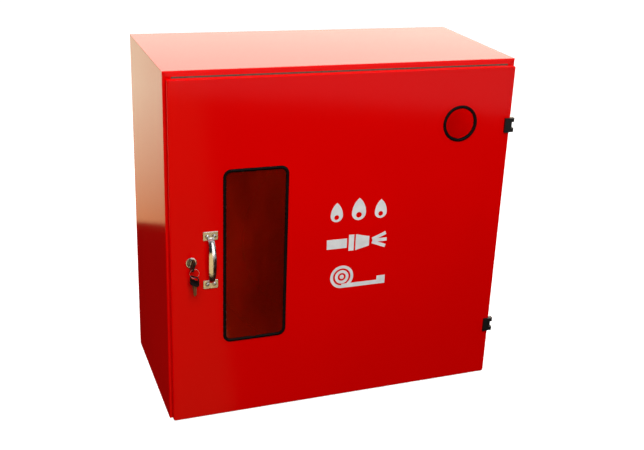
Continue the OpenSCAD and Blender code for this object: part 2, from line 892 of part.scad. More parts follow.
// Three places round the drum, for the tie rods.
module at_tie_rods() {
    for (a = [30, 150, 270]) {
        translate([tie_rod_pcd_r * cos(a), 0, reel_z + tie_rod_pcd_r * sin(a)]) children();
    }
}

// A side disc with pressed rings and a rolled rim.
module side_disc(y) {
    difference() {
        on_reel(y) {
            translate([hub_r, 0]) square([disc_r - rim_r - hub_r, disc_t]);
            translate([disc_r - rim_r, disc_t / 2]) circle(rim_r, $fn = 24);
            for (r = [110, 190]) translate([r, disc_t / 2]) circle(2.2, $fn = 24);
        }
        at_tie_rods() rod_y(0, 0, y - over, y + disc_t + over, tie_rod_r);
    }
}

module front_disc() {
    color("red") side_disc(front_disc_y);
}

module rear_disc() {
    color("red") side_disc(rear_disc_y);
}

module drum_core() {
    color("red") difference() {
        on_reel(front_disc_y + disc_t) translate([drum_r - drum_t, 0])
            square([drum_t, rear_disc_y - front_disc_y - disc_t]);
        rod_z(0, swivel_y, reel_z, reel_z + drum_d, 11);
    }
}

module tie_rods() {
    color("silver") at_tie_rods() {
        rod_y(0, 0, front_disc_y - 4, rear_disc_y + disc_t + 4, tie_rod_r);
        translate([0, front_disc_y - 5, 0]) rotate([-90, 0, 0]) cylinder(h = 5, r = 7.5, $fn = 6);
        translate([0, rear_disc_y + disc_t, 0]) rotate([-90, 0, 0]) cylinder(h = 5, r = 7.5, $fn = 6);
    }
}

// Two flanged bushes that carry the discs on the spindle.
module reel_bushes() {
    inner_r = spindle_r + bush_fit;
    color("white") {
        on_reel(front_disc_y - 2) {
            translate([inner_r, 0]) square([hub_r - inner_r, 24]);
            translate([inner_r, 2 + disc_t]) square([hub_r + 6 - inner_r, 3]);
        }
        on_reel(rear_disc_y + disc_t + 2 - 24) {
            translate([inner_r, 0]) square([hub_r - inner_r, 24]);
            translate([inner_r, 24 - 5 - disc_t]) square([hub_r + 6 - inner_r, 3]);
        }
    }
}

// A collar that turns on the spindle and feeds the hose through the drum wall.
module water_swivel() {
    color("goldenrod") difference() {
        union() {
            rod_y(0, reel_z, swivel_y - 18, swivel_y + 18, spindle_r + 9);
            rod_z(0, swivel_y, reel_z + spindle_r, reel_z + drum_r - 1, 11);
        }
        rod_y(0, reel_z, swivel_y - 20, swivel_y + 20, spindle_r + bush_fit);
        rod_z(0, swivel_y, reel_z, reel_z + drum_d, 7);
    }
}

// The outer shape of all the wound hose, with a groove between its two middle turns where the tail lies.
module hose_coil() {
    groove_r = hose_d / 2 + 5.3;
    color("firebrick") on_reel(coil_mid_y - coil_w / 2) difference() {
        translate([coil_inner_r, 0]) square([coil_outer_r - coil_inner_r, coil_w]);
        translate([tail_r, coil_w / 2]) circle(groove_r);
    }
}

// Frame of the nozzle: Z runs on from the hose's end, X points away from the reel's axis.
module at_hose_end() {
    translate([0, coil_mid_y, reel_z]) rotate([90, 0, 0]) rotate(nozzle_angle)
        translate([tail_r, 0, 0]) rotate([-90, 0, 0]) children();
}

// The last part turn of the hose, on top of the coil.
module hose_tail() {
    color("firebrick") translate([0, coil_mid_y, reel_z]) rotate([90, 0, 0]) rotate(nozzle_angle - tail_angle)
        rotate_extrude(angle = tail_angle, $fn = 96) translate([tail_r, 0]) circle(hose_d / 2);
}

module hose_ferrule() {
    color("goldenrod") at_hose_end() difference() {
        cylinder(h = ferrule_l, r = hose_d / 2 + 3);
        translate([0, 0, -over]) cylinder(h = ferrule_l + 2 * over, r = nozzle_bore_r);
    }
}

// The nozzle's body tapers to a spigot that the tip turns on.
module nozzle_body() {
    color("goldenrod") at_hose_end() translate([0, 0, ferrule_l]) difference() {
        union() {
            cylinder(h = nozzle_l, r1 = 15, r2 = 12.5);
            translate([0, 0, nozzle_l]) cylinder(h = spigot_l, r = spigot_r);
        }
        translate([0, 0, -over]) cylinder(h = nozzle_l + spigot_l + 2 * over, r = nozzle_bore_r - 2);
    }
}

module nozzle_tip() {
    color("black") at_hose_end() translate([0, 0, ferrule_l + nozzle_l + 0.3]) difference() {
        cylinder(h = tip_l, r1 = 15, r2 = 11);
        translate([0, 0, -over]) cylinder(h = spigot_l + over + 0.5, r = spigot_r + bush_fit);
        cylinder(h = tip_l + over, r = nozzle_bore_r - 4);
    }
}

// A ring round the ferrule on an arm from the front disc.
module nozzle_clip() {
    inner_r = hose_d / 2 + 3;
    disc_gap = coil_mid_y - front_disc_y - disc_t;
    color("silver") at_hose_end() translate([0, 0, ferrule_l / 2 - 8]) difference() {
        union() {
            cylinder(h = 16, r = inner_r + 2);
            translate([-3, -disc_gap, 0]) cube([6, disc_gap, 16]);
            translate([-12, -disc_gap, 0]) cube([24, 2, 16]);
        }
        translate([0, 0, -over]) cylinder(h = 16 + 2 * over, r = inner_r);
    }
}

top_panel();
bottom_panel();
left_side_panel();
right_side_panel();
back_panel();
door_seal();
body_hinge_leaves();
hinge_pins();
body_hinge_screws();
reel_bracket();
bracket_nuts();
spindle();
spindle_cap();
inlet_elbow();
cross_pipe();
corner_elbow();
riser_pipe();
valve_body();
inlet_socket();
pipe_grommet();
pipe_clip();
valve_ball();
valve_stem();
valve_lever();
lever_grip();
lever_nut();
front_disc();
rear_disc();
drum_core();
tie_rods();
reel_bushes();
water_swivel();
hose_coil();
hose_tail();
hose_ferrule();
nozzle_body();
nozzle_clip();
nozzle_tip();
door_panel();
window_pane();
window_rubber();
port_rubber();
flame_sign();
hose_sign();
reel_sign();
pull_handle();
handle_screws();
handle_nuts();
door_hinge_leaves();
door_hinge_screws();
lock_housing();
lock_nut();
lock_plug();
lock_cam();
cam_screw();
key_blade();
key_head();
key_ring();
spare_key_blade();
spare_key_head();
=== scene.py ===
"""Looks for the fire hose reel cabinet, in metres: sheet metal, rubber, keys, signs, hose and fittings."""

import json
import math

import bmesh
import bpy
from mathutils import Matrix, Vector


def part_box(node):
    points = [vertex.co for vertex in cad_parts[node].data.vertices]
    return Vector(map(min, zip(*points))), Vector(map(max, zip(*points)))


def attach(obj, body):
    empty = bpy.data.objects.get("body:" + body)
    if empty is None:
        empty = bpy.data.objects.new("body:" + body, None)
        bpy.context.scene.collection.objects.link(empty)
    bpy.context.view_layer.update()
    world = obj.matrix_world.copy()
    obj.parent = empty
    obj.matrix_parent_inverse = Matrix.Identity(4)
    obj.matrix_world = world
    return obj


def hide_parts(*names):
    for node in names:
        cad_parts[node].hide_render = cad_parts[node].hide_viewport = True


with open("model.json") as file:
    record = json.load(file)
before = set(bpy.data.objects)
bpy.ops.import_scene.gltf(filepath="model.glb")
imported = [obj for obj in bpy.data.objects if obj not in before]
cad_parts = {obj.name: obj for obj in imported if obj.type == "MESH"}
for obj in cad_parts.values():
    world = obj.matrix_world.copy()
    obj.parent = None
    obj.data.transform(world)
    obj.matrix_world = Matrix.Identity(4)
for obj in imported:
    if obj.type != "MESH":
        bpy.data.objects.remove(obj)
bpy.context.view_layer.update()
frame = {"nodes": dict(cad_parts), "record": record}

MM = 0.001
TAU = 2 * math.pi


# ---------------------------------------------------------------- camera

def make_camera():
    """From the front left and a little above, rolled slightly, with the picture shifted sideways."""
    eye = (-0.6771, -1.8654, 1.1140)
    azimuth, elevation, roll = 0.40228, 0.38099, 0.05665
    forward = Vector((
        math.sin(azimuth) * math.cos(elevation),
        math.cos(azimuth) * math.cos(elevation),
        -math.sin(elevation),
    ))
    right = forward.cross(Vector((0, 0, 1))).normalized()
    up = right.cross(forward)
    rolled_right = right * math.cos(roll) + up * math.sin(roll)
    rolled_up = up * math.cos(roll) - right * math.sin(roll)
    data = bpy.data.cameras.new("camera")
    data.sensor_width = 36
    data.lens = 55.87
    data.shift_x = -0.0668
    data.shift_y = 0.001
    camera = bpy.data.objects.new("camera", data)
    bpy.context.scene.collection.objects.link(camera)
    turn = Matrix((rolled_right, rolled_up, -forward)).transposed().to_4x4()
    camera.matrix_world = Matrix.Translation(eye) @ turn
    bpy.context.scene.camera = camera


make_camera()


# ---------------------------------------------------------------- sizes read from the frame

class Box:
    """A CAD node's box, with its middle and its half sizes."""

    def __init__(self, node):
        self.low, self.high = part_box(node)
        self.mid = (self.low + self.high) / 2
        self.half = (self.high - self.low) / 2


top = Box("top_panel")
side = Box("left_side_panel")
door = Box("door_panel")
window = Box("window_rubber")
port = Box("port_rubber")
pull = Box("pull_handle")
lock = Box("lock_housing")

HALF_W = top.high.x
BODY_H = top.high.z
FRONT_Y = top.low.y
BACK_Y = top.high.y
DOOR_Y = door.low.y
SHEET = 1.5 * MM
FLANGE = side.high.x - side.low.x
FOLD_R = 2.4 * MM


# ---------------------------------------------------------------- material building blocks

# A Mix node's colour sockets share their names with its others, so they are found by number.
MIX_FACTOR, MIX_FIRST, MIX_SECOND, MIX_RESULT = 0, 6, 7, 2


def new_material(name, colour, roughness, metallic=0.0):
    """A Principled material. Returns the material, its node tree and its shader."""
    material = bpy.data.materials.new(name)
    material.use_nodes = True
    tree = material.node_tree
    shader = tree.nodes["Principled BSDF"]
    shader.inputs["Base Color"].default_value = (*colour, 1)
    shader.inputs["Roughness"].default_value = roughness
    shader.inputs["Metallic"].default_value = metallic
    material.diffuse_color = (*colour, 1)
    return material, tree, shader


def add(tree, kind, **settings):
    """A node with its settings: names of sockets, or of the node's own properties."""
    node = tree.nodes.new(kind)
    for key, value in settings.items():
        if key in node.inputs:
            node.inputs[key].default_value = value
        else:
            setattr(node, key, value)
    return node


def place(tree, stretch=(1, 1, 1)):
    """Object coordinates in metres, stretched along the axes."""
    coordinates = add(tree, "ShaderNodeTexCoord")
    mapping = add(tree, "ShaderNodeMapping")
    mapping.inputs["Scale"].default_value = stretch
    tree.links.new(coordinates.outputs["Object"], mapping.inputs["Vector"])
    return mapping.outputs["Vector"]


def noise(tree, vector, scale, detail=3.0):
    """A noise pattern, 0 to 1."""
    node = add(tree, "ShaderNodeTexNoise", Scale=scale, Detail=detail, Roughness=0.5)
    tree.links.new(vector, node.inputs["Vector"])
    return node.outputs["Fac"]


def spread(tree, value, low, high, from_low=0.3, from_high=0.7):
    """Maps a value to the range low to high. The usual limits suit a noise pattern."""
    node = add(tree, "ShaderNodeMapRange")
    node.inputs["From Min"].default_value = from_low
    node.inputs["From Max"].default_value = from_high
    node.inputs["To Min"].default_value = low
    node.inputs["To Max"].default_value = high
    tree.links.new(value, node.inputs["Value"])
    return node.outputs["Result"]


def blend_colours(tree, factor, first, second):
    """Goes from the first colour at factor 0 to the second at 1. Either may be an output of another node."""
    node = add(tree, "ShaderNodeMix", data_type="RGBA")
    tree.links.new(factor, node.inputs[MIX_FACTOR])
    for socket, colour in ((node.inputs[MIX_FIRST], first), (node.inputs[MIX_SECOND], second)):
        if isinstance(colour, tuple):
            socket.default_value = (*colour, 1)
        else:
            tree.links.new(colour, socket)
    return node.outputs[MIX_RESULT]


def bump(tree, shader, height, distance, strength, under=None):
    """Relief from a height pattern, on top of an earlier bump if one is given."""
    node = add(tree, "ShaderNodeBump", Strength=strength, Distance=distance)
    tree.links.new(height, node.inputs["Height"])
    if under is not None:
        tree.links.new(under, node.inputs["Normal"])
    tree.links.new(node.outputs["Normal"], shader.inputs["Normal"])
    return node.outputs["Normal"]


def vary(tree, shader, vector, colours, scale, rough, rough_scale):
    """Uneven colour between two tones, and uneven roughness."""
    pattern = noise(tree, vector, scale)
    tree.links.new(blend_colours(tree, spread(tree, pattern, 0, 1), *colours), shader.inputs["Base Color"])
    smear = noise(tree, vector, rough_scale, detail=5)
    tree.links.new(spread(tree, smear, *rough), shader.inputs["Roughness"])


def shade(colour, amount):
    """A colour made darker or lighter."""
    return tuple(c * amount for c in colour)


# ---------------------------------------------------------------- materials

def powder_coat(name, colour, roughness, gloss=1.0):
    """Gloss powder coat: fine orange peel, long soft waves in the sheet, faint handling marks."""
    material, tree, shader = new_material(name, colour, roughness)
    shader.inputs["Specular IOR Level"].default_value = 0.07 * gloss
    shader.inputs["Coat Weight"].default_value = 0.03 * gloss
    shader.inputs["Coat Roughness"].default_value = 0.1
    vector = place(tree)
    vary(tree, shader, vector, (colour, shade(colour, 0.93)), 3.0, (roughness * 0.9, roughness * 1.2), 9.0)
    waves = bump(tree, shader, noise(tree, vector, 5.0, detail=1), 0.6 * MM, 0.35)
    bump(tree, shader, noise(tree, vector, 900.0, detail=1), 0.03 * MM, 0.5, waves)
    return material


def rubber(name, colour, roughness):
    """Extruded rubber: satin skin with fine pores and dusty patches."""
    material, tree, shader = new_material(name, colour, roughness)
    shader.inputs["Specular IOR Level"].default_value = 0.06
    vector = place(tree)
    vary(tree, shader, vector, (colour, shade(colour, 1.5)), 60.0,
         (roughness * 0.85, roughness * 1.25), 140.0)
    bump(tree, shader, noise(tree, vector, 1800.0, detail=2), 0.05 * MM, 0.5)
    return material


def foam(name, colour):
    """Closed-cell foam: matt, with small round cells."""
    material, tree, shader = new_material(name, colour, 0.95)
    vector = place(tree)
    vary(tree, shader, vector, (colour, shade(colour, 0.6)), 220.0, (0.85, 1.0), 500.0)
    cells = add(tree, "ShaderNodeTexVoronoi", Scale=900.0)
    tree.links.new(vector, cells.inputs["Vector"])
    bump(tree, shader, cells.outputs["Distance"], 0.4 * MM, 0.8)
    return material


def chrome(name, colour, roughness):
    """Bright plate over a pressed blank: soft waviness and hairline polishing marks."""
    material, tree, shader = new_material(name, colour, roughness, 1.0)
    vector = place(tree)
    smear = noise(tree, vector, 120.0, detail=4)
    tree.links.new(spread(tree, smear, roughness * 0.7, roughness * 2.0), shader.inputs["Roughness"])
    waves = bump(tree, shader, noise(tree, vector, 60.0, detail=1), 0.15 * MM, 0.4)
    hairs = noise(tree, place(tree, (900, 900, 40)), 1.0, detail=4)
    bump(tree, shader, hairs, 0.01 * MM, 0.25, waves)
    return material


def metal(name, colour, roughness):
    """Plain worked metal: drawn or turned grain, uneven tone and roughness."""
    material, tree, shader = new_material(name, colour, roughness, 1.0)
    vary(tree, shader, place(tree), (colour, shade(colour, 0.8)), 90.0,
         (roughness * 0.75, roughness * 1.35), 200.0)
    grain = noise(tree, place(tree, (400, 400, 60)), 1.0, detail=4)
    bump(tree, shader, grain, 0.02 * MM, 0.6)
    return material


def galvanised(name):
    """Hot-dip zinc: large angular spangles in slightly different greys."""
    material, tree, shader = new_material(name, (0.5, 0.52, 0.54), 0.42, 0.9)
    vector = place(tree)
    spangle = add(tree, "ShaderNodeTexVoronoi", Scale=140.0)
    tree.links.new(vector, spangle.inputs["Vector"])
    grey = add(tree, "ShaderNodeSeparateColor")
    tree.links.new(spangle.outputs["Color"], grey.inputs["Color"])
    tone = blend_colours(tree, grey.outputs["Red"], (0.36, 0.38, 0.4), (0.6, 0.62, 0.64))
    tree.links.new(tone, shader.inputs["Base Color"])
    tree.links.new(spread(tree, grey.outputs["Green"], 0.32, 0.5, 0, 1), shader.inputs["Roughness"])
    bump(tree, shader, noise(tree, vector, 600.0), 0.03 * MM, 0.5)
    return material


def plastic(name, colour, roughness, grain=1400.0, depth=0.04):
    """Moulded plastic with a fine spark-eroded grain."""
    material, tree, shader = new_material(name, colour, roughness)
    shader.inputs["Specular IOR Level"].default_value = 0.3
    vector = place(tree)
    vary(tree, shader, vector, (colour, shade(colour, 0.8)), 40.0, (roughness * 0.85, roughness * 1.2), 150.0)
    bump(tree, shader, noise(tree, vector, grain, detail=2), depth * MM, 0.6)
    return material


def tinted_sheet(name):
    """Bronze-tinted acrylic: dark, clear and glossy."""
    material, tree, shader = new_material(name, (0.34, 0.004, 0.0), 0.03)
    shader.inputs["Transmission Weight"].default_value = 0.75
    shader.inputs["IOR"].default_value = 1.49
    shader.inputs["Specular IOR Level"].default_value = 0.08
    vector = place(tree)
    # The tint goes lighter and darker in soft streaks drawn out up and down.
    tint_streaks = noise(tree, place(tree, (1, 1, 0.35)), 9.0, detail=4)
    tint = blend_colours(tree, spread(tree, tint_streaks, 0, 1), (0.58, 0.018, 0.001), (0.26, 0.006, 0.0))
    tree.links.new(tint, shader.inputs["Base Color"])
    tree.links.new(spread(tree, noise(tree, vector, 25.0, detail=5), 0.02, 0.06), shader.inputs["Roughness"])
    bump(tree, shader, noise(tree, vector, 7.0, detail=1), 0.5 * MM, 0.25)
    return material


def hose_cover(name):
    """Red rubber hose: fine wrap marks from its cloth mould, with duller scuffs."""
    fresh, scuffed = (0.42, 0.018, 0.014), (0.33, 0.02, 0.018)
    material, tree, shader = new_material(name, fresh, 0.55)
    vector = place(tree)
    vary(tree, shader, vector, (fresh, scuffed), 45.0, (0.45, 0.72), 120.0)
    bump(tree, shader, noise(tree, vector, 1300.0, detail=2), 0.12 * MM, 0.7)
    return material


FINISHES = {
    "red_paint": powder_coat("red_powder_coat", (0.74, 0.0002, 0.0001), 0.09),
    "reel_paint": powder_coat("reel_red_paint", (0.46, 0.008, 0.006), 0.3, 0.8),
    "seal_foam": foam("seal_foam", (0.11, 0.075, 0.055)),
    "black_rubber": rubber("black_rubber", (0.0025, 0.0025, 0.0025), 0.24),
    "black_hinge": plastic("black_hinge_coat", (0.006, 0.006, 0.006), 0.42, 1100.0),
    "black_plastic": plastic("black_key_plastic", (0.004, 0.004, 0.004), 0.3),
    "tinted_pane": tinted_sheet("tinted_pane"),
    "white_vinyl": plastic("white_vinyl_film", (0.86, 0.86, 0.85), 0.35, 500.0, 0.02),
    "chrome": chrome("chrome_plate", (0.86, 0.85, 0.83), 0.15),
    "bright_steel": metal("zinc_plated_steel", (0.78, 0.78, 0.79), 0.27),
    "grey_steel": powder_coat("dark_grey_paint", (0.14, 0.145, 0.15), 0.45, 0.6),
    "galvanised_pipe": galvanised("galvanised_pipe"),
    "brass": metal("turned_brass", (0.72, 0.5, 0.2), 0.26),
    "key_brass": metal("key_brass", (0.78, 0.6, 0.36), 0.42),
    "red_vinyl": plastic("dipped_red_vinyl", (0.5, 0.012, 0.01), 0.28, 300.0),
    "white_nylon": plastic("natural_nylon", (0.75, 0.74, 0.69), 0.5),
    "hose_rubber": hose_cover("red_hose_cover"),
}


def dress(obj, slot):
    """Gives an object one finish in every material slot."""
    if not obj.data.materials:
        obj.data.materials.append(FINISHES[slot])
    for index in range(len(obj.data.materials)):
        obj.data.materials[index] = FINISHES[slot]


SLOT_OF = {part["node"]: part["material_slot"] for part in frame["record"]["subparts"]}
for node_name, node_object in frame["nodes"].items():
    dress(node_object, SLOT_OF[node_name])


# ---------------------------------------------------------------- mesh building blocks

def make_object(name, bm, body, slot, *replaced, smooth=True):
    """Turns a bmesh into a piece that rides on a CAD body and, if asked, stands for CAD nodes."""
    bmesh.ops.recalc_face_normals(bm, faces=bm.faces)
    data = bpy.data.meshes.new(name)
    bm.to_mesh(data)
    bm.free()
    for polygon in data.polygons:
        polygon.use_smooth = smooth
    obj = bpy.data.objects.new(name, data)
    bpy.context.scene.collection.objects.link(obj)
    dress(obj, slot)
    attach(obj, body)
    if replaced:
        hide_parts(*replaced)
    return obj


def add_rings(bm, rings, closed=False, capped=False):
    """Joins equal closed rings of points. closed joins the last to the first, and capped fills both ends."""
    rows = [[bm.verts.new(point) for point in ring] for ring in rings]
    count = len(rings[0])
    last = len(rows) if closed else len(rows) - 1
    for i in range(last):
        a, b = rows[i], rows[(i + 1) % len(rows)]
        for j in range(count):
            k = (j + 1) % count
            bm.faces.new((a[j], a[k], b[k], b[j]))
    if capped:
        bm.faces.new(rows[0])
        bm.faces.new(rows[-1])
    return rows


def add_strip(bm, rows):
    """Joins equal open rows of points."""
    made = [[bm.verts.new(point) for point in row] for row in rows]
    for a, b in zip(made, made[1:]):
        for j in range(len(a) - 1):
            bm.faces.new((a[j], a[j + 1], b[j + 1], b[j]))


def arc(centre_u, centre_v, radius, start, end, steps):
    """Points of an arc in degrees, both ends included."""
    angles = [math.radians(start + (end - start) * i / steps) for i in range(steps + 1)]
    return [(centre_u + radius * math.cos(a), centre_v + radius * math.sin(a)) for a in angles]


def round_outline(mid_x, mid_z, half_w, half_h, radius, inset=0.0, steps=6, straight=6):
    """A round-cornered rectangle in X and Z, anticlockwise, shrunk by an inset on every side."""
    w, h, r = half_w - inset, half_h - inset, max(radius - inset, 0.15 * MM)
    points = []
    for quarter, (sx, sz) in enumerate([(1, 1), (-1, 1), (-1, -1), (1, -1)]):
        corner = arc(mid_x + sx * (w - r), mid_z + sz * (h - r), r, 90 * quarter, 90 * quarter + 90, steps)
        points += corner
        next_x, next_z = [(-1, 1), (-1, -1), (1, -1), (1, 1)][quarter]
        swap = (quarter + 1) % 4
        target = (mid_x + next_x * (w - r) + r * math.cos(math.radians(90 * swap)),
                  mid_z + next_z * (h - r) + r * math.sin(math.radians(90 * swap)))
        start = corner[-1]
        for i in range(1, straight):
            t = i / straight
            points.append((start[0] + (target[0] - start[0]) * t, start[1] + (target[1] - start[1]) * t))
    return points


def circle_outline(mid_x, mid_z, radius, steps=96):
    """A circle in X and Z, anticlockwise."""
    angles = [TAU * i / steps for i in range(steps)]
    return [(mid_x + radius * math.cos(a), mid_z + radius * math.sin(a)) for a in angles]


def at_y(points, y):
    """Lifts X and Z points into the plane Y = y."""
    return [(x, y, z) for x, z in points]


def ring_at(centre, across, third, radii):
    """A ring round a centre, in the plane of two directions, with one radius for each of its points."""
    angles = [TAU * i / len(radii) for i in range(len(radii))]
    return [centre + (across * math.cos(a) + third * math.sin(a)) * r for a, r in zip(angles, radii)]


def lathe(bm, origin, axis, profile, steps=48, closed=False):
    """Turns (radius, distance along axis) points round an axis. An open profile gets flat ends."""
    axis = Vector(axis).normalized()
    across = axis.orthogonal().normalized()
    third = axis.cross(across)
    rings = [ring_at(Vector(origin) + axis * along, across, third, [radius] * steps)
             for radius, along in profile]
    add_rings(bm, rings, closed=closed, capped=not closed)


def sharpen(obj, angle):
    """Shades the edges that turn by more than an angle in degrees as sharp."""
    obj.data.set_sharp_from_angle(angle=math.radians(angle))


def apply_modifiers(obj):
    """Makes the modifiers' result the piece's own mesh."""
    bpy.context.view_layer.update()
    shown = obj.evaluated_get(bpy.context.evaluated_depsgraph_get())
    data = bpy.data.meshes.new_from_object(shown)
    obj.modifiers.clear()
    obj.data = data
    sharpen(obj, 35)


def solidify(obj, thickness):
    """Gives a sheet its thickness, behind the surface that shows."""
    modifier = obj.modifiers.new("thickness", "SOLIDIFY")
    modifier.thickness = thickness
    modifier.offset = -1
    apply_modifiers(obj)


def bevel(obj, width, segments, angle):
    """Rounds the edges that turn by more than an angle in degrees."""
    modifier = obj.modifiers.new("rounded edges", "BEVEL")
    modifier.width = width
    modifier.segments = segments
    modifier.limit_method = "ANGLE"
    modifier.angle_limit = math.radians(angle)
    modifier.harden_normals = True


def box_mesh(bm, low, high):
    """A block between two corners."""
    made = bmesh.ops.create_cube(bm, size=1)
    middle = (Vector(low) + Vector(high)) / 2
    size = Vector(high) - Vector(low)
    bmesh.ops.scale(bm, vec=size, verts=made["verts"])
    bmesh.ops.translate(bm, vec=middle, verts=made["verts"])


def face_outwards(obj, outward):
    """Makes an open sheet's normals agree with a function that says which way is out."""
    data = obj.data
    votes = sum(polygon.normal.dot(outward(polygon.center)) * polygon.area for polygon in data.polygons)
    if votes < 0:
        data.flip_normals()


def sweep(bm, points, radius, sides):
    """A round bar along points, without twist and with flat ends."""
    last = len(points) - 1
    rings = []
    across = None
    for i, point in enumerate(points):
        along = (points[min(i + 1, last)] - points[max(i - 1, 0)]).normalized()
        across = along.orthogonal() if across is None else across - along * across.dot(along)
        across.normalize()
        rings.append(ring_at(point, across, along.cross(across), [radius] * sides))
    add_rings(bm, rings, capped=True)


def cut(obj, tool):
    """Takes one closed mesh away from another."""
    modifier = obj.modifiers.new("cut", "BOOLEAN")
    modifier.operation = "DIFFERENCE"
    modifier.object = tool
    modifier.solver = "EXACT"
    apply_modifiers(obj)
    bpy.data.objects.remove(tool)


def loose_object(name, bm):
    """An object that is only used while making another."""
    bmesh.ops.recalc_face_normals(bm, faces=bm.faces)
    data = bpy.data.meshes.new(name)
    bm.to_mesh(data)
    bm.free()
    obj = bpy.data.objects.new(name, data)
    bpy.context.scene.collection.objects.link(obj)
    return obj


def prism(bm, outline, place_point, start, end):
    """A solid between two copies of a flat outline. place_point turns (u, v, depth) into a point."""
    rings = [[place_point(u, v, depth) for u, v in outline] for depth in (start, end)]
    add_rings(bm, rings, capped=True)


def screw_mesh(head_r, head_h):
    """A pan head lying along -Y from the origin, with a cross recess, as mesh data."""
    bm = bmesh.new()
    dome = [(head_r, 0), (head_r, head_h * 0.25)]
    dome += [(head_r * math.cos(a), head_h * (0.25 + 0.75 * math.sin(a))) for a in
             [i * math.pi / 16 for i in range(1, 8)]]
    lathe(bm, (0, 0, 0), (0, -1, 0), dome, 32)
    head = loose_object("screw_head", bm)
    bm = bmesh.new()
    arm, width = head_r * 0.55, head_r * 0.16
    cross = [(arm, width), (width, width), (width, arm), (-width, arm), (-width, width), (-arm, width),
             (-arm, -width), (-width, -width), (-width, -arm), (width, -arm), (width, -width), (arm, -width)]
    prism(bm, cross, lambda u, v, depth: (u, -depth, v), head_h * 0.35, head_h * 2)
    cut(head, loose_object("cross_recess", bm))
    data = head.data
    bpy.data.objects.remove(head)
    return data


def soften(node, width, segments=2):
    """Rounds a CAD node's edges, in modifiers that leave its mesh alone."""
    obj = frame["nodes"][node]
    weld = obj.modifiers.new("weld", "WELD")
    weld.merge_threshold = 0.005 * MM
    bevel(obj, width, segments, 30)


# ---------------------------------------------------------------- cabinet body

SHEET_SPANS = 16


def fold_profile():
    """A sheet's section from the back edge, round the front fold, and down its flange.

    Each point is (distance back from the front plane, distance in from the outer face)."""
    depth = BACK_Y - FRONT_Y
    beside_bend = FOLD_R + 1.5 * MM
    flat = [(depth - (depth - FOLD_R) * i / 6, 0.0) for i in range(6)] + [(beside_bend, 0.0)]
    bend = arc(FOLD_R, FOLD_R, FOLD_R, 270, 180, 8)
    down = [(0.0, beside_bend), (0.0, FLANGE)]
    return flat + bend + down


def make_top_panel():
    """The lid: flat on top, folded down over the front, its flange cut on the mitre."""
    bm = bmesh.new()
    rows = []
    for depth, drop in fold_profile():
        reach = HALF_W - max(0.0, drop - SHEET)
        y, z = FRONT_Y + depth, BODY_H - drop
        rows.append([(reach * (2 * i / SHEET_SPANS - 1), y, z) for i in range(SHEET_SPANS + 1)])
    add_strip(bm, rows)
    obj = make_object("top_sheet", bm, "cabinet", "red_paint", "top_panel")
    face_outwards(obj, lambda c: Vector((0, -0.3, 1)))
    solidify(obj, SHEET)


def make_side_panel(name, sign, node):
    """A side: its front flange meets the lid's on the mitre, with a hairline gap."""
    gap = 0.45 * MM
    bm = bmesh.new()
    rows = []
    for depth, drop in fold_profile():
        inset = SHEET + gap + max(0.0, drop - SHEET)
        x, y = sign * (HALF_W - drop), FRONT_Y + depth
        low, high = inset, BODY_H - inset
        rows.append([(x, y, low + (high - low) * i / SHEET_SPANS) for i in range(SHEET_SPANS + 1)])
    add_strip(bm, rows)
    obj = make_object(name, bm, "cabinet", "red_paint", node)
    face_outwards(obj, lambda c: Vector((sign, -0.3, 0)))
    solidify(obj, SHEET)


def make_seal():
    """A soft foam strip on the flange: rounded, slightly wavy, and squeezed down a little at the top."""
    seal = Box("door_seal")
    width = 10 * MM
    squeezed = 1.2 * MM
    waviness = 0.16
    thick = seal.high.y - seal.low.y
    bm = bmesh.new()
    rings = []
    section = [(0, 0), (0, 0.5), (0.12, 0.9), (0.3, 1.0), (0.7, 1.0), (0.88, 0.9), (1, 0.5), (1, 0)]
    for across, out in section:
        outline = round_outline(seal.mid.x, seal.mid.z - squeezed, seal.half.x, seal.half.z - squeezed,
                                1.5 * MM, inset=width * across, straight=60)
        ring = []
        for i, (x, z) in enumerate(outline):
            swell = 1 - waviness * (0.5 + 0.5 * math.sin(i * 0.9) * math.sin(i * 0.37 + 1))
            ring.append((x, seal.high.y - thick * out * swell, z))
        rings.append(ring)
    add_rings(bm, rings, closed=True)
    make_object("foam_seal", bm, "cabinet", "seal_foam", "door_seal")


make_top_panel()
make_side_panel("left_side_sheet", -1, "left_side_panel")
make_side_panel("right_side_sheet", 1, "right_side_panel")
make_seal()


# ---------------------------------------------------------------- door

RUBBER_WIDTH = 6.5 * MM
RUBBER_PROUD = 2.2 * MM
RUBBER_BITE = 2.5 * MM
WINDOW_CORNER_R = 16 * MM
JOINT_PINCH = 0.55
FAR_OFF = 1.0
LOCK_BARREL_R = 9 * MM


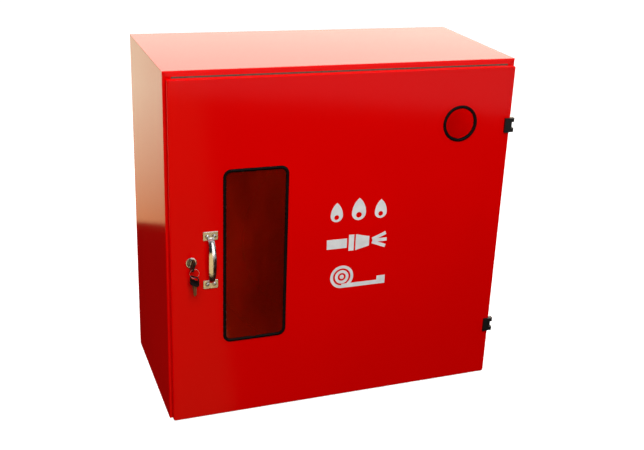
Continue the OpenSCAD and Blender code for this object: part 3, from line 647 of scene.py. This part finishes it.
def make_door():
    """The door pan: face with its cut-outs, four rolled edges and a lip turned in at the back."""
    lip = 12 * MM
    corner_r = 3.4 * MM
    front, rear = door.low.y, door.high.y
    r = 2.2 * MM
    bend = [i * math.pi / 16 for i in range(9)]
    profile = [(lip, rear), (lip * 0.6, rear), (r + 1.2 * MM, rear)]
    profile += [(r - r * math.sin(a), rear - r + r * math.cos(a)) for a in bend]
    profile += [(r - r * math.cos(a), front + r - r * math.sin(a)) for a in bend]
    profile += [(r + 0.8 * MM, front), (r + 2.5 * MM, front)]
    bm = bmesh.new()
    rings = [at_y(round_outline(door.mid.x, door.mid.z, door.half.x, door.half.z, corner_r, inset, 5, 8), y)
             for inset, y in profile]
    rows = add_rings(bm, rings)
    edges = [bm.edges.get((a, b)) for a, b in zip(rows[-1], rows[-1][1:] + rows[-1][:1])]
    holes = [
        round_outline(window.mid.x, window.mid.z, window.half.x, window.half.z, WINDOW_CORNER_R,
                      RUBBER_BITE, 8),
        circle_outline(port.mid.x, port.mid.z, port.half.x - RUBBER_BITE),
        circle_outline(lock.mid.x, lock.mid.z, LOCK_BARREL_R, 48),
    ]
    for outline in holes:
        verts = [bm.verts.new(point) for point in at_y(outline, front)]
        edges += [bm.edges.new((a, b)) for a, b in zip(verts, verts[1:] + verts[:1])]
    bmesh.ops.triangle_fill(bm, use_beauty=True, use_dissolve=False, edges=edges)
    obj = make_object("door_sheet", bm, "door", "red_paint", "door_panel")
    face_outwards(obj, lambda c: Vector((0, -1, 0)) if c.y < front + r else c - door.mid)
    solidify(obj, SHEET)


def bulb_section(rear):
    """A rubber edging's section as (inset, depth): a bulb in front and one behind, grooved for the sheet."""
    half = RUBBER_WIDTH / 2
    fullness = 0.75
    front_turn = [i * math.pi / 12 for i in range(13)]
    rear_turn = [i * math.pi / 8 for i in range(9)]
    front = [(half - half * math.cos(a), -RUBBER_PROUD * math.sin(a) ** fullness) for a in front_turn]
    behind = [(half + half * math.cos(a), rear * math.sin(a) ** fullness + SHEET) for a in rear_turn]
    groove = [(RUBBER_BITE, SHEET), (RUBBER_BITE, 0.0)]
    return front + behind + groove


def near(distance, reach):
    """1 at a place, falling smoothly to nothing beyond its reach."""
    return math.exp(-((distance / reach) ** 2))


def make_window_rubber():
    """The window's rubber: one length of section bent round the cut-out, butted at bottom centre."""
    bm = bmesh.new()
    rings = []
    for inset, depth in bulb_section(3.2 * MM):
        outline = round_outline(window.mid.x, window.mid.z, window.half.x, window.half.z, WINDOW_CORNER_R,
                                inset, 10, 46)
        sag = 1.1 * MM if inset > RUBBER_BITE else 0.0
        ring = []
        for x, z in outline:
            from_joint = abs(x - window.mid.x) if z < window.mid.z - window.half.z * 0.9 else FAR_OFF
            pinch = JOINT_PINCH * near(from_joint, 1.3 * MM)
            ring.append((x, DOOR_Y + depth * (1 - pinch), z - sag * near(from_joint, 7 * MM)))
        rings.append(ring)
    add_rings(bm, rings, closed=True)
    make_object("window_edging", bm, "door", "black_rubber", "window_rubber")


def make_port_rubber():
    """The same kind of edging round the open port."""
    steps = 96
    joint_at = 1.5 * math.pi
    bm = bmesh.new()
    rings = []
    for inset, depth in bulb_section(2.2 * MM):
        ring = []
        for i, (x, z) in enumerate(circle_outline(port.mid.x, port.mid.z, port.half.x - inset, steps)):
            from_joint = (TAU * i / steps - joint_at) * port.half.x
            pinch = JOINT_PINCH * near(from_joint, 1.2 * MM)
            ring.append((x, DOOR_Y + depth * (1 - pinch), z))
        rings.append(ring)
    add_rings(bm, rings, closed=True)
    make_object("port_edging", bm, "door", "black_rubber", "port_rubber")


make_door()
make_window_rubber()
make_port_rubber()


# ---------------------------------------------------------------- pull handle

PULL_PLATE = 2 * MM
PULL_STRAP = 2.4 * MM


def strap_width(share):
    """The strap's half width: flared at the plates, narrow at the necks, widest in the middle."""
    neck = 4.6 * MM
    flare = 2.6 * MM * near(min(share, 1 - share), 0.09)
    belly = 2.6 * MM * math.sin(math.pi * share) ** 1.5
    return neck + flare + belly


def make_pull_handle():
    """Two plates and one bowed, crowned strap, pressed from one blank and plated."""
    reach = DOOR_Y - pull.low.y
    plate_half_h = 9 * MM
    arch_half_h = pull.half.z - 2 * plate_half_h + 5 * MM
    crown = 1.6 * MM
    steps, sides = 72, 10
    spine = []
    for i in range(steps + 1):
        a = math.pi * i / steps
        spine.append(Vector((0, -reach * math.sin(a) ** 0.7, arch_half_h * math.cos(a))))
    bm = bmesh.new()
    rings = []
    for i, point in enumerate(spine):
        along = (spine[min(i + 1, steps)] - spine[max(i - 1, 0)]).normalized()
        out = Vector((0, along.z, -along.y))
        if out.y > 0:
            out = -out
        half = strap_width(i / steps)
        share = [2 * j / sides - 1 for j in range(sides + 1)]
        outer = [(s * half, -crown * s * s) for s in share]
        inner = [(s * half * 0.96, -crown * s * s - PULL_STRAP * (1 - 0.45 * s * s)) for s in reversed(share)]
        centre = Vector((pull.mid.x, DOOR_Y, pull.mid.z)) + point
        rings.append([centre + Vector((x, 0, 0)) + out * depth for x, depth in outer + inner])
    add_rings(bm, rings, capped=True)
    strap = make_object("pull_strap", bm, "door", "chrome", "pull_handle")
    sharpen(strap, 50)
    for name, sign in (("upper", 1), ("lower", -1)):
        bm = bmesh.new()
        mid_z = pull.mid.z + sign * (pull.half.z - plate_half_h)
        layers = [(0, 0), (0, 1.1 * MM), (0.7 * MM, PULL_PLATE)]
        rings = [at_y(round_outline(pull.mid.x, mid_z, pull.half.x, plate_half_h, 2 * MM, inset, 5, 2),
                      DOOR_Y - out) for inset, out in layers]
        add_rings(bm, rings, capped=True)
        plate = make_object(f"pull_{name}_plate", bm, "door", "chrome", "pull_handle")
        bevel(plate, 0.35 * MM, 2, 20)


def make_pull_screws():
    """Cross-recessed pan heads over the handle's four screws, each turned by its own amount."""
    head_r = 4.0 * MM
    head = screw_mesh(head_r, 1.9 * MM)
    low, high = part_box("handle_screws")
    places = [(x, z) for x in (low.x + head_r, high.x - head_r) for z in (low.z + head_r, high.z - head_r)]
    bm = bmesh.new()
    for index, (x, z) in enumerate(places):
        before = len(bm.verts)
        bm.from_mesh(head)
        bm.verts.ensure_lookup_table()
        fresh = bm.verts[before:]
        turn = Matrix.Rotation(0.9 * index + 0.4, 4, "Y")
        at = Matrix.Translation((x, DOOR_Y - PULL_PLATE, z))
        bmesh.ops.transform(bm, matrix=at @ turn, verts=fresh)
    sharpen(make_object("pull_screw_heads", bm, "door", "bright_steel"), 40)


make_pull_handle()
make_pull_screws()


# ---------------------------------------------------------------- lock and keys

def make_lock():
    """The lock's barrel and its rolled face ring, round the plug that the key turns."""
    face = lock.low.y
    length, seat = lock.high.y - face, DOOR_Y - face
    ring_r = lock.half.x
    plug_r = 6.6 * MM
    lip = 1.5 * MM
    roll = [i * math.pi / 12 for i in range(1, 7)]
    profile = [(plug_r, length), (LOCK_BARREL_R, length), (LOCK_BARREL_R, seat), (ring_r, seat),
               (ring_r, lip)]
    profile += [(ring_r - lip + lip * math.cos(a), lip - lip * math.sin(a)) for a in roll]
    profile += [(plug_r + 1.1 * MM, 0), (plug_r + 0.5 * MM, 0.3 * MM), (plug_r, 1.0 * MM)]
    bm = bmesh.new()
    lathe(bm, (lock.mid.x, face, lock.mid.z), (0, 1, 0), profile, 64, closed=True)
    sharpen(make_object("lock_face_ring", bm, "door", "chrome", "lock_housing"), 50)


KEY_HEAD_L = 20 * MM
KEY_HEAD_W = 21 * MM
KEY_HEAD_T = 2.8 * MM
KEY_SHANK = 3 * MM
KEY_BLADE_L = 18 * MM
KEY_BLADE_W = 8 * MM
KEY_BLADE_T = 2 * MM


def key_frame_in_lock():
    """Where the inserted key stands: its shoulder at the lock's face, leaning with the plug."""
    lean = math.radians(17)
    origin = Vector((lock.mid.x, lock.low.y, lock.mid.z))
    return Matrix.Translation(origin) @ Matrix.Rotation(lean, 4, "Y")


def key_frame_on_ring():
    """Where the spare key hangs: blade down, turned a little on the ring."""
    low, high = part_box("spare_key_head")
    origin = Vector(((low.x + high.x) / 2, (low.y + high.y) / 2, low.z - KEY_SHANK))
    turn = Matrix.Rotation(math.radians(-52), 4, "Z")
    blade_down = Matrix.Rotation(-math.pi / 2, 4, "X") @ Matrix.Rotation(math.pi / 2, 4, "Y")
    return Matrix.Translation(origin) @ turn @ blade_down


def key_blade_blank():
    """A pointed, bitted blade with a groove milled in each side, along +Y from its shoulder, as mesh data."""
    half_w, half_t = KEY_BLADE_W / 2, KEY_BLADE_T / 2
    bitting = [1.9, 1.2, 2.3, 0.7, 1.6, 0.0]
    top = [(-KEY_SHANK, half_w), (KEY_BLADE_L - 4 * MM, half_w), (KEY_BLADE_L, half_w * 0.15)]
    bottom = [(KEY_BLADE_L - 2.5 * MM, -half_w + 2.4 * MM)]
    for index, depth in enumerate(bitting):
        along = KEY_BLADE_L - 3.4 * MM - index * 2.2 * MM
        bottom += [(along, -half_w + depth * MM), (along - 0.9 * MM, -half_w + depth * MM)]
    bottom += [(-KEY_SHANK, -half_w)]
    bm = bmesh.new()
    prism(bm, top + bottom, lambda u, v, depth: (depth, u, v), -half_t, half_t)
    blade = loose_object("blade_blank", bm)
    groove_depth, groove_w, over = 0.55 * MM, 1.3 * MM, 1 * MM
    for side, low_z in ((-1, 1.6 * MM), (1, 0.6 * MM)):
        bm = bmesh.new()
        box_mesh(bm, (side * half_t - groove_depth, -KEY_SHANK - over, low_z),
                 (side * half_t + groove_depth, KEY_BLADE_L + over, low_z + groove_w))
        cut(blade, loose_object("groove", bm))
    data = blade.data
    bpy.data.objects.remove(blade)
    return data


def key_head_layers():
    """The moulded head's rings, as (outline, depth): a rounded edge, a raised rim and a flared slot."""
    mid = -KEY_SHANK - KEY_HEAD_L / 2
    slot_mid = -KEY_SHANK - KEY_HEAD_L + 5 * MM
    half = KEY_HEAD_T / 2
    edge, sunk = 0.7 * MM, 0.35 * MM

    def outer(inset):
        return round_outline(0, mid, KEY_HEAD_W / 2, KEY_HEAD_L / 2, 5 * MM, inset, 6, 6)

    def slot(inset):
        return round_outline(0, slot_mid, 8.5 * MM, 2.4 * MM, 2.3 * MM, inset, 6, 6)

    front = [(outer(0), half - edge), (outer(edge * 0.3), half - edge * 0.3), (outer(edge), half),
             (outer(1.7 * MM), half), (outer(2.0 * MM), half - sunk), (slot(-0.4 * MM), half - sunk),
             (slot(0), half - 1.2 * MM)]
    return front + [(outline, -depth) for outline, depth in reversed(front)]


def make_key(name, where, body, steel_slot, blade_node, head_node):
    """A cut key at a place: its steel blade, and its moulded head."""
    bm = bmesh.new()
    bm.from_mesh(key_blade_blank())
    bmesh.ops.transform(bm, matrix=where, verts=bm.verts)
    steel = make_object(f"{name}_steel", bm, body, steel_slot, blade_node, smooth=False)
    bevel(steel, 0.12 * MM, 2, 40)
    bm = bmesh.new()
    rings = [[where @ Vector((depth, v, u)) for u, v in outline] for outline, depth in key_head_layers()]
    add_rings(bm, rings, closed=True)
    sharpen(make_object(f"{name}_grip", bm, body, "black_plastic", head_node), 50)


def make_key_ring():
    """A split ring: two turns of wire side by side, which cross over halfway along the wire."""
    ring = Box("key_ring")
    wire_r = 0.86 * ring.half.y / 2
    radius = ring.half.x - wire_r
    first_angle = 0.7
    cross_from, cross_length = 0.42, 0.16
    steps = 144
    points = []
    for i in range(steps + 1):
        share = i / steps
        a = 2 * TAU * share + first_angle
        crossed = min(max((share - cross_from) / cross_length, 0), 1)
        shift = (2 * crossed - 1) * wire_r
        points.append(ring.mid + Vector((radius * math.cos(a), shift, radius * math.sin(a))))
    bm = bmesh.new()
    sweep(bm, points, wire_r, 10)
    make_object("split_ring", bm, "ring", "bright_steel", "key_ring")


make_lock()
make_key("inserted_key", key_frame_in_lock(), "key", "bright_steel", "key_blade", "key_head")
make_key("spare_key", key_frame_on_ring(), "spare_key", "key_brass", "spare_key_blade", "spare_key_head")
make_key_ring()


# ---------------------------------------------------------------- edges of the CAD pieces that show

for hinge_node in ("door_hinge_leaves", "body_hinge_leaves", "hinge_pins"):
    soften(hinge_node, 0.5 * MM, 3)
for small_node in ("lock_plug", "lock_nut", "lock_cam", "handle_nuts", "valve_lever", "lever_nut"):
    soften(small_node, 0.3 * MM)
for fitting_node in ("valve_body", "inlet_socket", "pipe_clip", "reel_bracket", "bracket_nuts", "tie_rods",
                     "spindle_cap", "pipe_grommet"):
    soften(fitting_node, 0.6 * MM)


# ---------------------------------------------------------------- hose, reel and nozzle

coil = Box("hose_coil")
tail = Box("hose_tail")

REEL_X, REEL_Z = coil.mid.x, coil.mid.z
COIL_MID_Y = coil.mid.y
HOSE_R = tail.half.y
HOSE_D = 2 * HOSE_R
HOSE_LAYERS = 5
HOSE_TURNS = round((coil.high.y - coil.low.y) / HOSE_D)
TAIL_R = coil.half.x + HOSE_R
TAIL_START, TAIL_END = 80, 150
FERRULE_L, FERRULE_BORE_R = 36 * MM, 9 * MM
BRANCH_L = 80 * MM


def ease(share):
    """Goes smoothly from 0 to 1, and stays there outside the range."""
    share = min(max(share, 0), 1)
    return share * share * (3 - 2 * share)


def hose_point(angle, radius, y):
    """A point on the reel, its angle in degrees from +X towards +Z."""
    a = math.radians(angle)
    return Vector((REEL_X + radius * math.cos(a), y, REEL_Z + radius * math.sin(a)))


def hose_route():
    """The wound hose: layer over layer, each turn beside the last, then over the top to the nozzle.

    It rests for half a turn at each flange and climbs to the next layer there, over a part of a turn. The
    last stretch crosses back to the middle of the reel."""
    per_turn = 36
    reach = (HOSE_TURNS - 1) * HOSE_D
    rest_turn = 0.5
    climb = 40 / 360
    crossing = 200
    end_angle = TAIL_START - crossing
    start_angle = end_angle - 360 * HOSE_LAYERS * HOSE_TURNS
    first_r = TAIL_R - HOSE_LAYERS * HOSE_D
    points = []
    for i in range(HOSE_LAYERS * HOSE_TURNS * per_turn):
        turns = i / per_turn
        layer = int(turns // HOSE_TURNS)
        within = turns - layer * HOSE_TURNS
        across = min(max((within - rest_turn) / (HOSE_TURNS - 2 * rest_turn), 0), 1) - 0.5
        side_way = 1 if layer % 2 == 0 else -1
        rise = 0.0
        if layer > 0:
            rise -= 1 - ease(0.5 + within / (2 * climb))
        if layer < HOSE_LAYERS:
            rise += ease(0.5 + (within - HOSE_TURNS) / (2 * climb))
        radius = first_r + (layer + rise) * HOSE_D
        points.append(hose_point(start_angle + 360 * turns, radius, COIL_MID_Y + side_way * reach * across))
    last_side = 1 if HOSE_LAYERS % 2 else -1
    steps = 40
    for i in range(steps + 1):
        share = i / steps
        angle = end_angle + (TAIL_END - end_angle) * share
        radius = TAIL_R - HOSE_D * (1 - ease(0.5 + (angle - end_angle) / (720 * climb)))
        y = COIL_MID_Y + last_side * reach / 2 * (1 - ease((angle - end_angle - 30) / (crossing - 40)))
        points.append(hose_point(angle, radius, y))
    return points


def make_hose():
    """All the hose on the reel, as one piece."""
    bm = bmesh.new()
    sweep(bm, hose_route(), HOSE_R * 0.985, 14)
    make_object("wound_hose", bm, "reel", "hose_rubber", "hose_coil", "hose_tail")


def nozzle_line():
    """Where the hose ends and which way the nozzle points, in the plane of the reel."""
    a = math.radians(TAIL_END)
    return hose_point(TAIL_END, TAIL_R, COIL_MID_Y), Vector((-math.sin(a), 0, math.cos(a)))


def make_ferrule():
    """The crimped brass ferrule on the hose's end."""
    origin, way = nozzle_line()
    outer = HOSE_R + 3 * MM
    pressed = outer * 0.95
    profile = [(outer * 0.93, 0), (outer, 1 * MM)]
    for at in (8 * MM, 16 * MM, 24 * MM):
        profile += [(outer, at), (pressed, at + 1.2 * MM), (pressed, at + 3.2 * MM), (outer, at + 4.4 * MM)]
    profile += [(outer, FERRULE_L - 1 * MM), (outer * 0.96, FERRULE_L), (FERRULE_BORE_R, FERRULE_L),
                (FERRULE_BORE_R, 0)]
    bm = bmesh.new()
    lathe(bm, origin, way, profile, closed=True)
    sharpen(make_object("crimped_ferrule", bm, "reel", "brass", "hose_ferrule"), 40)


def make_branch_pipe():
    """The turned brass branch pipe, and the spigot that the tip turns on."""
    origin, way = nozzle_line()
    spigot_l, spigot_r = 30 * MM, 9 * MM
    bore_r = 7 * MM
    outside = [(14.2, 0), (15, 0.8), (15, 6), (13.6, 7), (13.2, 40), (12.2, 66), (12.2, 69), (13.2, 70),
               (13.2, 78.5)]
    profile = [(bore_r, 0)]
    profile += [(radius * MM, along * MM) for radius, along in outside]
    profile += [(12.4 * MM, BRANCH_L), (spigot_r, BRANCH_L), (spigot_r, BRANCH_L + spigot_l),
                (bore_r, BRANCH_L + spigot_l)]
    bm = bmesh.new()
    lathe(bm, origin + way * FERRULE_L, way, profile, closed=True)
    sharpen(make_object("branch_pipe", bm, "reel", "brass", "nozzle_body"), 40)


def make_tip():
    """The ribbed black tip that twists to open."""
    origin, way = nozzle_line()
    start = origin + way * (FERRULE_L + BRANCH_L + 0.3 * MM)
    across = Vector((0, 1, 0))
    third = way.cross(across)
    ribs, sides = 18, 144
    grooves = [0.9 * max(math.cos(ribs * TAU * i / sides), 0) ** 2 for i in range(sides)]
    outside = [(13.6, 0.4), (14.4, 1.2), (14.6, 3), (14.2, 20), (13.3, 26), (11.4, 28), (11.0, 43),
               (10.2, 45)]
    inside = [(5.2, 45), (5.0, 30.8), (9.6, 30.7), (9.6, 0.4)]
    rings = []
    for radius, along in outside + inside:
        grooved = 1 < along < 24
        radii = [(radius - groove) * MM if grooved else radius * MM for groove in grooves]
        rings.append(ring_at(start + way * along * MM, across, third, radii))
    bm = bmesh.new()
    add_rings(bm, rings, closed=True)
    sharpen(make_object("ribbed_tip", bm, "nozzle", "black_plastic", "nozzle_tip"), 40)


make_hose()
make_ferrule()
make_branch_pipe()
make_tip()
soften("lever_grip", 3 * MM, 4)


# ---------------------------------------------------------------- light and floor

def make_floor():
    """A plain pale floor, wide enough to have no edge in any view."""
    bm = bmesh.new()
    bmesh.ops.create_grid(bm, x_segments=1, y_segments=1, size=30)
    data = bpy.data.meshes.new("floor")
    bm.to_mesh(data)
    bm.free()
    obj = bpy.data.objects.new("floor", data)
    bpy.context.scene.collection.objects.link(obj)
    material, _, shader = new_material("pale_floor", (0.86, 0.86, 0.86), 0.6)
    shader.inputs["Specular IOR Level"].default_value = 0.2
    shader.inputs["Emission Color"].default_value = (1, 1, 1, 1)
    shader.inputs["Emission Strength"].default_value = 0.5
    data.materials.append(material)
    obj.visible_glossy = False
    obj.visible_diffuse = False
    obj.visible_shadow = False


def soft_light(name, place_at, aim_at, width, height, power, colour=None):
    """A soft panel that isn't seen itself. Given a colour, it shows only in gloss. If not, it lights only
    matt surfaces, in white."""
    data = bpy.data.lights.new(name, "AREA")
    data.shape = "RECTANGLE"
    data.size, data.size_y = width, height
    data.energy = power
    data.color = colour or (1, 1, 1)
    obj = bpy.data.objects.new(name, data)
    bpy.context.scene.collection.objects.link(obj)
    obj.location = place_at
    obj.rotation_euler = (Vector(aim_at) - Vector(place_at)).to_track_quat("-Z", "Y").to_euler()
    obj.visible_camera = False
    obj.visible_glossy = colour is not None
    obj.visible_diffuse = colour is None
    return obj


def fade_upwards(lamp, low_z, high_z, low_colour, high_colour):
    """Lets a panel's colour change between two heights."""
    lamp.data.use_nodes = True
    tree = lamp.data.node_tree
    position = add(tree, "ShaderNodeNewGeometry")
    axes = add(tree, "ShaderNodeSeparateXYZ")
    tree.links.new(position.outputs["Position"], axes.inputs["Vector"])
    height = spread(tree, axes.outputs["Z"], 0, 1, low_z, high_z)
    tint = blend_colours(tree, height, low_colour, high_colour)
    tree.links.new(tint, tree.nodes["Emission"].inputs["Color"])


def make_world():
    """Seen, a white backdrop. As light, a sky bright behind, dim on the left and dark in front and below."""
    world = bpy.data.worlds.new("studio")
    world.use_nodes = True
    tree = world.node_tree
    background = tree.nodes["Background"]
    coordinates = add(tree, "ShaderNodeTexCoord")
    axes = add(tree, "ShaderNodeSeparateXYZ")
    tree.links.new(coordinates.outputs["Generated"], axes.inputs["Vector"])
    height = spread(tree, axes.outputs["Z"], 0, 1, -0.06, 0.04)
    across = spread(tree, axes.outputs["X"], 0, 1, -0.9, 0.1)
    behind = spread(tree, axes.outputs["Y"], 0, 1, -0.6, 0.25)
    white, left, front, ground = (1.0, 1.0, 1.0), (0.42, 0.3, 0.3), (0.02, 0.018, 0.018), (0.02, 0.004, 0.003)
    sky = blend_colours(tree, across, left, white)
    sky = blend_colours(tree, behind, front, sky)
    sky = blend_colours(tree, height, ground, sky)
    rays = add(tree, "ShaderNodeLightPath")
    sky = blend_colours(tree, rays.outputs["Is Camera Ray"], sky, white)
    tree.links.new(sky, background.inputs["Color"])
    background.inputs["Strength"].default_value = 1.0
    bpy.context.scene.world = world


# Each panel: name, where it stands, where it faces, width, height, watts, and its colour in gloss.
PANELS = [
    ("back_top_panel", (1.6, 4.0, 2.6), (0, 0, 0.7), 7.0, 3.4, 165, (1, 0.84, 0.63)),
    ("back_left_panel", (-1.0, 1.25, 0.22), (-0.35, 0, 0.5), 1.2, 0.86, 7.0, (1, 1, 1)),
    ("left_fill", (-3.0, 0.2, 0.3), (-0.35, 0, 0.35), 1.5, 1.5, 15),
    ("front_sheen", (0.8, -2.4, 1.45), (-0.27, -0.18, 1.0), 1.8, 3.1, 28, (1, 1, 1)),
    ("front_warm_low", (-0.66, -1.9, -0.45), (-0.66, 0, 0.4), 1.68, 1.6, 6.5, (1, 0.74, 0.34)),
    ("front_key", (-0.5, -2.6, 2.6), (0, 0, 0.35), 1.8, 1.8, 112),
    ("overhead", (0.2, 0.2, 3.6), (0.2, 0.2, 0), 4.5, 4.5, 55),
    ("inside_fill", (0.1, -0.11, 0.62), (0.2, 0.16, 0.45), 0.1, 0.05, 0.6),
]


def make_light():
    """Lamps for matt light in front, above, on the left and inside, and panels that show only in gloss."""
    make_world()
    lamps = {panel[0]: soft_light(*panel) for panel in PANELS}
    orange, cream = (0.5, 0.27, 0.1), (0.81, 0.81, 0.56)
    fade_upwards(lamps["back_left_panel"], -0.24, 0.26, orange, cream)
    bpy.context.scene.view_settings.view_transform = "Standard"


make_floor()
make_light()
